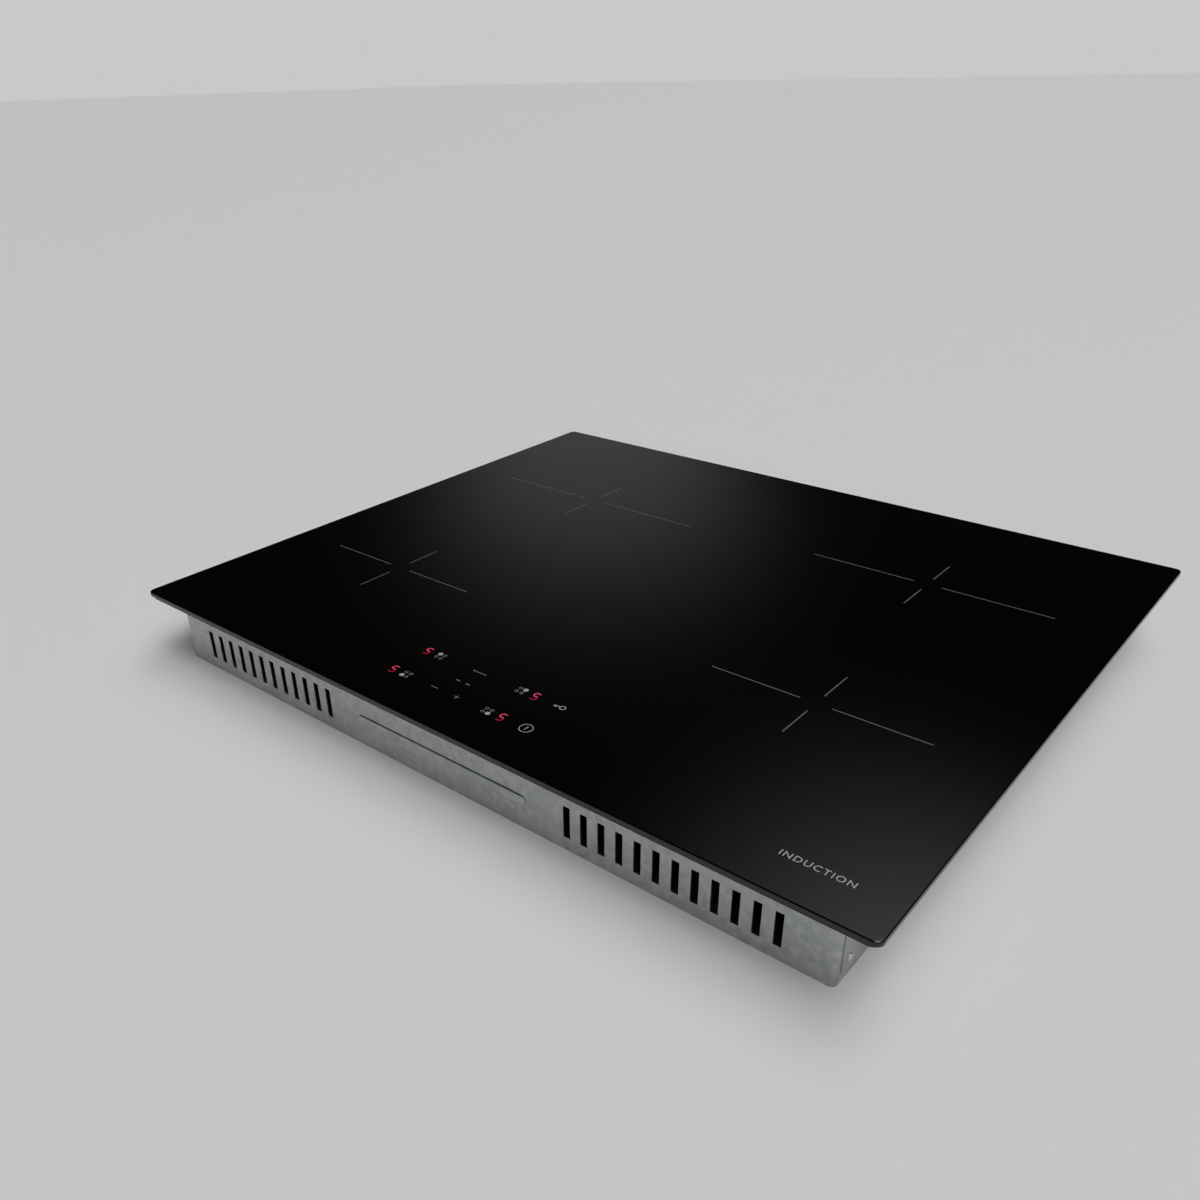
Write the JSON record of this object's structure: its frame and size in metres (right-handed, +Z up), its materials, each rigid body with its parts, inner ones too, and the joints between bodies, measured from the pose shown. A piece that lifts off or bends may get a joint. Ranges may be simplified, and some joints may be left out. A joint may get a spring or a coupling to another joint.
{
  "type": "built-in induction cooktop",
  "caption": "Flush black glass-ceramic induction cooktop with cross-marked cooking zones and front touch controls, complete with coils, power electronics, blowers and mains terminal.",
  "frame": {"origin": "middle of the glass seen from above, at the level of the casing's underside", "axes": "+X to the user's right, +Y away from the user to the wall behind, +Z up"},
  "size_m": [0.6, 0.51, 0.054],
  "materials": {
    "black_glass": "opaque black glass-ceramic, polished",
    "seal_foam": "closed-cell foam tape",
    "zinc_steel": "hot-dip galvanised sheet, fine spangle",
    "spring_steel": "stainless spring steel, as rolled",
    "litz_copper": "enamelled litz wire wound flat",
    "carrier_plastic": "glass-filled moulding, fine texture",
    "ferrite": "sintered ferrite, dull",
    "mica_sheet": "pressed mica paper",
    "aluminium": "mill finish",
    "sensor_silicone": "silicone holder",
    "black_plastic": "flame-retardant moulding",
    "white_plastic": "off-white moulding",
    "motor_varnish": "varnished laminations and copper",
    "board_green": "solder-masked glass-fibre board with components",
    "cable_grey": "grey insulated wire"
  },
  "bodies": {
    "hob": {"glass_panel": "black_glass", "perimeter_seal": "seal_foam", "bottom_case": "zinc_steel", "filter_board": "board_green", "touch_board": "board_green", "touch_board_holder": "black_plastic", "display_light_box": "white_plastic", "terminal_box": "black_plastic", "terminal_block": "white_plastic", "supply_loom": "cable_grey", "ribbon_cable": "cable_grey", "front_rail": "zinc_steel", "rear_rail": "zinc_steel", "left_rail": "zinc_steel", "right_rail": "zinc_steel", "case_screw_left_front": "zinc_steel", "case_screw_front_left": "zinc_steel", "case_screw_left_rear": "zinc_steel", "case_screw_rear_left": "zinc_steel", "insulation_sheet_left": "mica_sheet", "coil_plate_left": "aluminium", "blower_housing_left": "black_plastic", "blower_motor_left": "motor_varnish", "board_tray_left": "white_plastic", "power_board_left": "board_green", "heatsink_left": "aluminium", "case_screw_right_front": "zinc_steel", "case_screw_front_right": "zinc_steel", "case_screw_right_rear": "zinc_steel", "case_screw_rear_right": "zinc_steel", "insulation_sheet_right": "mica_sheet", "coil_plate_right": "aluminium", "blower_housing_right": "black_plastic", "blower_motor_right": "motor_varnish", "board_tray_right": "white_plastic", "power_board_right": "board_green", "heatsink_right": "aluminium", "coil_winding_front_left": "litz_copper", "coil_carrier_front_left": "carrier_plastic", "ferrite_bars_front_left": "ferrite", "zone_sensor_front_left": "sensor_silicone", "coil_winding_rear_left": "litz_copper", "coil_carrier_rear_left": "carrier_plastic", "ferrite_bars_rear_left": "ferrite", "zone_sensor_rear_left": "sensor_silicone", "coil_winding_rear_right": "litz_copper", "coil_carrier_rear_right": "carrier_plastic", "ferrite_bars_rear_right": "ferrite", "zone_sensor_rear_right": "sensor_silicone", "coil_winding_front_right": "litz_copper", "coil_carrier_front_right": "carrier_plastic", "ferrite_bars_front_right": "ferrite", "zone_sensor_front_right": "sensor_silicone"},
    "blower_rotor_left": {"blower_rotor_left": "black_plastic"},
    "blower_rotor_right": {"blower_rotor_right": "black_plastic"},
    "terminal_cover": {"terminal_cover": "black_plastic"},
    "side_clip_front_left": {"side_clip_front_left": "spring_steel"},
    "side_clip_rear_left": {"side_clip_rear_left": "spring_steel"},
    "side_clip_front_right": {"side_clip_front_right": "spring_steel"},
    "side_clip_rear_right": {"side_clip_rear_right": "spring_steel"}
  },
  "joints": [
    {"name": "blower_left_spin", "type": "hinge", "parent": "hob", "child": "blower_rotor_left", "pos_m": [-0.15, 0.1585, 0.018], "axis": [0, 0, 1], "continuous": true},
    {"name": "blower_right_spin", "type": "hinge", "parent": "hob", "child": "blower_rotor_right", "pos_m": [0.15, 0.1585, 0.018], "axis": [0, 0, 1], "continuous": true},
    {"name": "terminal_cover_hinge", "type": "hinge", "parent": "hob", "child": "terminal_cover", "pos_m": [-0.0145, 0.2392, 0.0045], "axis": [-1, 0, 0], "range_deg": [0, 90]},
    {"name": "side_clip_front_left_press", "type": "hinge", "parent": "hob", "child": "side_clip_front_left", "pos_m": [-0.2765, -0.115, 0.0385], "axis": [0, -1, 0], "range_deg": [0, 9], "stiffness_Nm_per_rad": 1.5},
    {"name": "side_clip_rear_left_press", "type": "hinge", "parent": "hob", "child": "side_clip_rear_left", "pos_m": [-0.2765, 0.115, 0.0385], "axis": [0, -1, 0], "range_deg": [0, 9], "stiffness_Nm_per_rad": 1.5},
    {"name": "side_clip_front_right_press", "type": "hinge", "parent": "hob", "child": "side_clip_front_right", "pos_m": [0.2765, -0.115, 0.0385], "axis": [0, 1, 0], "range_deg": [0, 9], "stiffness_Nm_per_rad": 1.5},
    {"name": "side_clip_rear_right_press", "type": "hinge", "parent": "hob", "child": "side_clip_rear_right", "pos_m": [0.2765, 0.115, 0.0385], "axis": [0, 1, 0], "range_deg": [0, 9], "stiffness_Nm_per_rad": 1.5}
  ]
}
